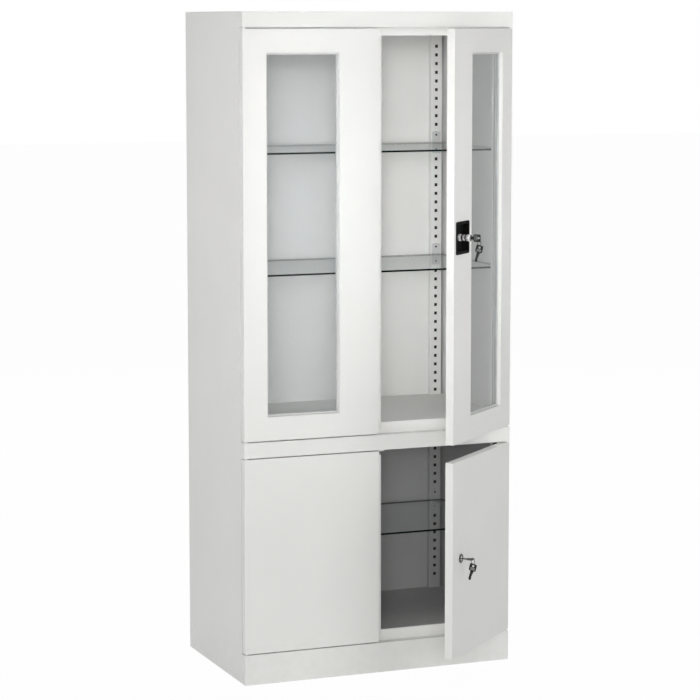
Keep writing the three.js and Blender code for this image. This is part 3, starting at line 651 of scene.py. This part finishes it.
def flat_mesh(name, loops, matrix, half_thick, edge):
    data = curve_data(name, "2D", edge)
    data.fill_mode = "BOTH"
    data.extrude = half_thick - edge
    data.offset = -edge
    for loop in loops:
        add_spline(data, [(x, y, 0) for x, y in loop], True)
    return curve_mesh(name, data, matrix)


def wire_mesh(name, points, matrix, radius):
    data = curve_data(name, "3D", radius)
    data.use_fill_caps = True
    add_spline(data, points, False)
    return curve_mesh(name, data, matrix)


print("curve helpers ready")

# %% [markdown]
# ## Keys and split rings
# A key has a squarish bow with a hole and two slots, two shoulders, and a blade with bitting on one
# edge. The blade of a key in a lock is drawn only up to the lock's face. One outline serves all four
# keys. The ring is a helix of two turns, as spring wire lies.

# %% Draw a key and a ring
KEY_HALF_THICK = 1.0
KEY_EDGE = 0.28
KEY_HOLE = (40.0, 3.5)
KEY_HOLE_STEPS = 32
BLADE_HALF = 4.0
BOW = filleted([(26.0, 4.6, 0), (26.0, 10.0, 4.0), (46.0, 10.0, 4.0), (46.0, -10.0, 4.0), (26.0, -10.0, 4.0),
                (26.0, -4.6, 0)])
BOW_SLOTS = [(29.2, 30.8), (33.0, 34.6)]
BOW_SLOT_HALF = 6.5
BITTING = [(23.4, -4.6), (23.4, -4.0), (18.6, -4.0), (17.2, -2.3), (15.9, -2.3), (14.7, -3.4), (13.4, -3.4),
           (12.0, -1.7), (10.6, -1.7), (9.4, -3.0), (8.0, -3.0), (6.8, -1.9), (5.4, -1.9), (4.2, -3.3),
           (2.6, -3.3), (0.0, -1.0), (0.0, 1.2), (2.4, 4.0), (23.4, 4.0), (23.4, 4.6)]
RING_RADIUS = 10.0
RING_WIRE = 0.48
RING_STEPS = 104
RING_START = -15.0
RING_STEP = 7.0


def key_mesh(name, matrix, shown_from=None):
    blade = BITTING
    if shown_from is not None:
        blade = [(shown_from, -BLADE_HALF), (shown_from, BLADE_HALF)]
    middle, radius = KEY_HOLE
    turns = [2 * math.pi * i / KEY_HOLE_STEPS for i in range(KEY_HOLE_STEPS)]
    hole = [(middle + radius * math.cos(a), radius * math.sin(a)) for a in turns]
    h = BOW_SLOT_HALF
    slots = [[(low, -h), (high, -h), (high, h), (low, h)] for low, high in BOW_SLOTS]
    return flat_mesh(name, (BOW + blade, hole, *slots), matrix, KEY_HALF_THICK, KEY_EDGE)


def ring_mesh(name, matrix):
    points = []
    for i in range(RING_STEPS + 1):
        a = math.radians(RING_START + i * RING_STEP)
        along = RING_WIRE * (2 * i / RING_STEPS - 1)
        points.append((along, RING_RADIUS * math.cos(a), RING_RADIUS * math.sin(a)))
    return wire_mesh(name, points, matrix, RING_WIRE)


print("a key has", len(BOW + BITTING), "outline points, a ring", RING_STEPS + 1)

# %% [markdown]
# ## Hang the keys
# One key stands in each lock. The ring goes through the hole of its bow, and the spare key hangs in the
# ring. A simulation could let them settle, but a few angles from the picture are enough. In the upper
# lock the bow stands upright, and in the lower lock it lies level, so the two rings hang differently.

# %% Add the keys and the rings
HANG_LEAN = math.radians(10)
SPARE_TURN = math.radians(65)
SPARE_PLAY = 2.3


def shifted(x, y=0.0, z=0.0):
    return Matrix.Translation(Vector((x, y, z)) * MM)


def add_keys(level, home, turner, key_start, shown_from, bow_roll, ring_middle):
    spare = level + "_spare"
    name = level + "_key_in_lock"
    in_lock = home @ shifted(key_start) @ Matrix.Rotation(bow_roll, 4, "X")
    to_object(name, key_mesh(name, in_lock, shown_from), key_steel, turner, "key_steel", level + "_lock_key")

    name = level + "_split_ring"
    hang = home @ shifted(key_start + KEY_HOLE[0]) @ Matrix.Rotation(HANG_LEAN, 4, "Z")
    hang = hang @ shifted(*ring_middle)
    to_object(name, ring_mesh(name, hang), key_steel, spare, "key_steel", level + "_key_ring")

    name = level + "_hanging_key"
    down = hang @ shifted(0, -RING_RADIUS) @ Matrix.Rotation(SPARE_TURN, 4, "Z")
    down = down @ shifted(-KEY_HOLE[0] - SPARE_PLAY)
    to_object(name, key_mesh(name, down), key_steel, spare, "key_steel", level + "_spare_key")


add_keys("upper", upper, "upper_knob", key_start=6.0, shown_from=17.5, bow_roll=0.0,
         ring_middle=(0, -12.3, 0))
add_keys("lower", lower, "lower_plug", key_start=-9.0, shown_from=11.6, bow_roll=math.pi / 2,
         ring_middle=(0, -7.2, -6.75))
print("keys hung in the upper and the lower lock")

# %% [markdown]
# ## Rows made with Geometry Nodes
# Holes and rivets repeat in even rows. An Array modifier could lay them, but one small node tree with
# named inputs serves every row. It lays points on a line, puts a flattened shape on each, and makes it
# all real mesh.

# %% Write the row tree
ROW_INPUTS = {"Count": "NodeSocketInt", "Start": "NodeSocketVector", "Step": "NodeSocketVector",
              "Size": "NodeSocketVector", "Finish": "NodeSocketMaterial"}
ROW_NODES = {"start": "NodeGroupInput", "line": "GeometryNodeMeshLine", "flat": "GeometryNodeTransform",
             "spread": "GeometryNodeInstanceOnPoints", "real": "GeometryNodeRealizeInstances",
             "paint": "GeometryNodeSetMaterial", "end": "NodeGroupOutput"}
ROW_LINKS = [("start", "Count", "line", "Count"), ("start", "Start", "line", "Start Location"),
             ("start", "Step", "line", "Offset"), ("shape", "Mesh", "flat", "Geometry"),
             ("start", "Size", "flat", "Scale"), ("line", "Mesh", "spread", "Points"),
             ("flat", "Geometry", "spread", "Instance"), ("spread", "Instances", "real", "Geometry"),
             ("real", "Geometry", "paint", "Geometry"), ("start", "Finish", "paint", "Material"),
             ("paint", "Geometry", "end", "Geometry")]
BALL = {"Radius": 0.5, "Segments": 20, "Rings": 12}


def row_tree(name, shape_kind, shape_values):
    tree = bpy.data.node_groups.new(name, "GeometryNodeTree")
    sockets = {}
    for label, kind in ROW_INPUTS.items():
        sockets[label] = tree.interface.new_socket(label, in_out="INPUT", socket_type=kind).identifier
    tree.interface.new_socket("Geometry", in_out="OUTPUT", socket_type="NodeSocketGeometry")
    made = {label: tree.nodes.new(kind) for label, kind in {**ROW_NODES, "shape": shape_kind}.items()}
    for label, value in shape_values.items():
        made["shape"].inputs[label].default_value = value
    for source, leaving, target, entering in ROW_LINKS:
        tree.links.new(made[source].outputs[leaving], made[target].inputs[entering])
    return tree, sockets


def add_row(name, row, finish, slot, **values):
    tree, sockets = row
    maker = bpy.data.objects.new(name + "_maker", bpy.data.meshes.new(name + "_maker"))
    layer = maker.modifiers.new("row", "NODES")
    layer.node_group = tree
    for label, value in {**values, "Finish": finish}.items():
        layer[sockets[label]] = value
    to_object(name, smoothed(mesh_of(maker, name), CUT_SHARP), finish, "carcass", slot)


hole_shade_row = row_tree("hole_shade_plate", "GeometryNodeMeshCube", {})
rivet_row = row_tree("rivets", "GeometryNodeMeshUVSphere", BALL)
print("row trees:", hole_shade_row[0].name, "and", rivet_row[0].name)

# %% [markdown]
# ## Hole shade plates
# The holes of an upright look black, because the space behind them gets no light. Darker paint round
# each hole would look printed, so a small near-black plate of painted shade sits behind each one and the
# hole itself stays open.

# %% Lay the hole shade plates
HOLE_COUNT = 63
HOLE_FIRST = 0.153
HOLE_PITCH = 0.025
SHADE_PLATE_SIZE = (0.014, 0.001, 0.014)
SHADE_PLATE_SETBACK = 0.0045

# Each plate is painted shade: a near-black sheet where the inside of the hole is in shade.
for side in ("left", "right"):
    for end in ("front", "rear"):
        upright = f"upright_{end}_{side}"
        near, far = span(upright, 1)
        depth = far - SHADE_PLATE_SETBACK if end == "front" else near + SHADE_PLATE_SETBACK
        add_row(f"hole_backing_{end}_{side}", hole_shade_row, hole_shade_finish, "galvanised_steel", Count=HOLE_COUNT,
                Start=(sum(span(upright, 0)) / 2, depth, HOLE_FIRST), Step=(0, 0, HOLE_PITCH),
                Size=SHADE_PLATE_SIZE)
print("backed", 4 * HOLE_COUNT, "holes")

# %% [markdown]
# ## Rivets
# Domed rivets hold the back panel, and one rivet fixes the hook of each shelf bracket; its head is made
# dark by the nickel's painted dark reflection. A rivet's head is a flattened ball that is half sunk into
# the sheet, so only the dome shows and no cut is needed.

# %% Set the rivets
RIVET_COUNT = 9
RIVET_X = 0.352
RIVET_FIRST = 0.12
RIVET_PITCH = 0.195
RIVET_SIZE = (0.0074, 0.0022, 0.0074)
BRACKET_RIVET_SIZE = (0.006, 0.0024, 0.006)
BRACKET_RIVET_DROP = 0.009
TOP_BAND = 0.0001

back_face = span("back_panel", 1)[1]
for side, sign in (("left", -1), ("right", 1)):
    add_row(f"rivets_{side}", rivet_row, zinc, "galvanised_steel", Count=RIVET_COUNT,
            Start=(sign * RIVET_X, back_face, RIVET_FIRST), Step=(0, 0, RIVET_PITCH), Size=RIVET_SIZE)
# Each bracket rivet is nickel with the painted dark reflection, so it shows as a dark dot.
brackets = [name for name in nodes if name.startswith("bracket")]
for name in brackets:
    top = span(name, 2)[1]
    plate = [v.co for v in nodes[name].data.vertices if v.co.z > top - TOP_BAND]
    x = sum(p.x for p in plate) / len(plate)
    y = min(p.y for p in plate) if "rear" in name else max(p.y for p in plate)
    add_row(f"{name}_rivet", rivet_row, dark_reflection_nickel, "galvanised_steel", Count=1,
            Start=(x, y, top - BRACKET_RIVET_DROP), Step=(0, 0, 0), Size=BRACKET_RIVET_SIZE)
print("set", 2 * RIVET_COUNT, "rivets in the back and", len(brackets), "in the brackets")

# %% [markdown]
# ## Floor and world
# The cabinet stands in a white studio. A floor that is simply white would be grey in the corners of the
# picture. So Light Path makes the floor and the world plain white for rays from the camera, a mirror or
# a glass, and leaves a pale floor and an even glow for the light itself. A trace of the pale floor
# keeps a faint shadow.

# %% Make the floor and the world
FLOOR_HALF = 30.0
FLOOR_DROP = 0.0005
FLOOR_WHITE = 0.975
WORLD_GLOW = 0.30


def seen_plainly(s):
    camera_ray, glossy, through = [s.add("ShaderNodeLightPath", output=f"Is {ray} Ray")
                                   for ray in ("Camera", "Glossy", "Transmission")]
    return camera_ray.larger(glossy).larger(through)


def make_floor():
    mesh = bpy.data.meshes.new("floor")
    h = FLOOR_HALF
    mesh.from_pydata([(-h, -h, 0), (h, -h, 0), (h, h, 0), (-h, h, 0)], [], [(0, 1, 2, 3)])
    floor = bpy.data.objects.new("floor", mesh)
    floor.location.z = -FLOOR_DROP
    bpy.context.scene.collection.objects.link(floor)
    s = Shader("pale_floor")
    tone = s.mix(s.noise(scale=0.7, detail=3), grey(0.86), grey(0.83))
    lit = s.surface(Base_Color=tone, Roughness=0.7)
    white = s.add("ShaderNodeEmission", None, {"Color": grey(1.0), "Strength": 1.0})
    mesh.materials.append(s.finish(s.blend(seen_plainly(s) * FLOOR_WHITE, lit, white)))


def make_world():
    s = Shader("studio", "worlds", "ShaderNodeOutputWorld")
    glow = s.add("ShaderNodeBackground", None, {"Strength": WORLD_GLOW})
    plain = s.add("ShaderNodeBackground", None, {"Color": grey(1.0), "Strength": 1.0})
    bpy.context.scene.world = s.finish(s.blend(seen_plainly(s), glow, plain))


make_floor()
make_world()
print("floor and world made")

# %% [markdown]
# ## Lamps
# Large soft lamps stand near the camera, to the left, to the right and behind, as in a studio. One big
# dome light could do it, but it would take away the difference between the faces. A narrow lamp beside
# the camera reaches in to the upper shelves.

# %% Hang the lamps
LAMPS = {
    "high_lamp": {"place": (-2.2, -5.2, 2.2), "aim": (0, 0, 1.0), "size": 2.2, "watts": 60},
    "front_lamp": {"place": (-2.5, -6.0, 0.9), "aim": (0, 0, 0.7), "size": 1.6, "watts": 35},
    "right_lamp": {"place": (3.0, -4.4, 2.2), "aim": (0, 0, 1.0), "size": 2.6, "watts": 59},
    "left_lamp": {"place": (-5.0, -1.5, 2.2), "aim": (0, 0, 1.0), "size": 2.6, "watts": 64},
    "rear_lamp": {"place": (1.8, 5.0, 3.0), "aim": (0, 0, 1.0), "size": 2.6, "watts": 90},
    "shelf_lamp": {"place": (-2.4, -5.7, 2.1), "aim": (0.1, 0.1, 1.33), "size": 0.7, "watts": 1.2,
                   "spread": 15},
}


def make_lamp(name, place, aim, size, watts, spread=180):
    data = bpy.data.lights.new(name, "AREA")
    data.shape = "SQUARE"
    data.size = size
    data.energy = watts
    data.spread = math.radians(spread)
    lamp = bpy.data.objects.new(name, data)
    lamp.location = place
    lamp.rotation_euler = (Vector(aim) - Vector(place)).to_track_quat("-Z", "Y").to_euler()
    bpy.context.scene.collection.objects.link(lamp)


for name, lamp in LAMPS.items():
    make_lamp(name, **lamp)
print("lamps:", ", ".join(LAMPS))
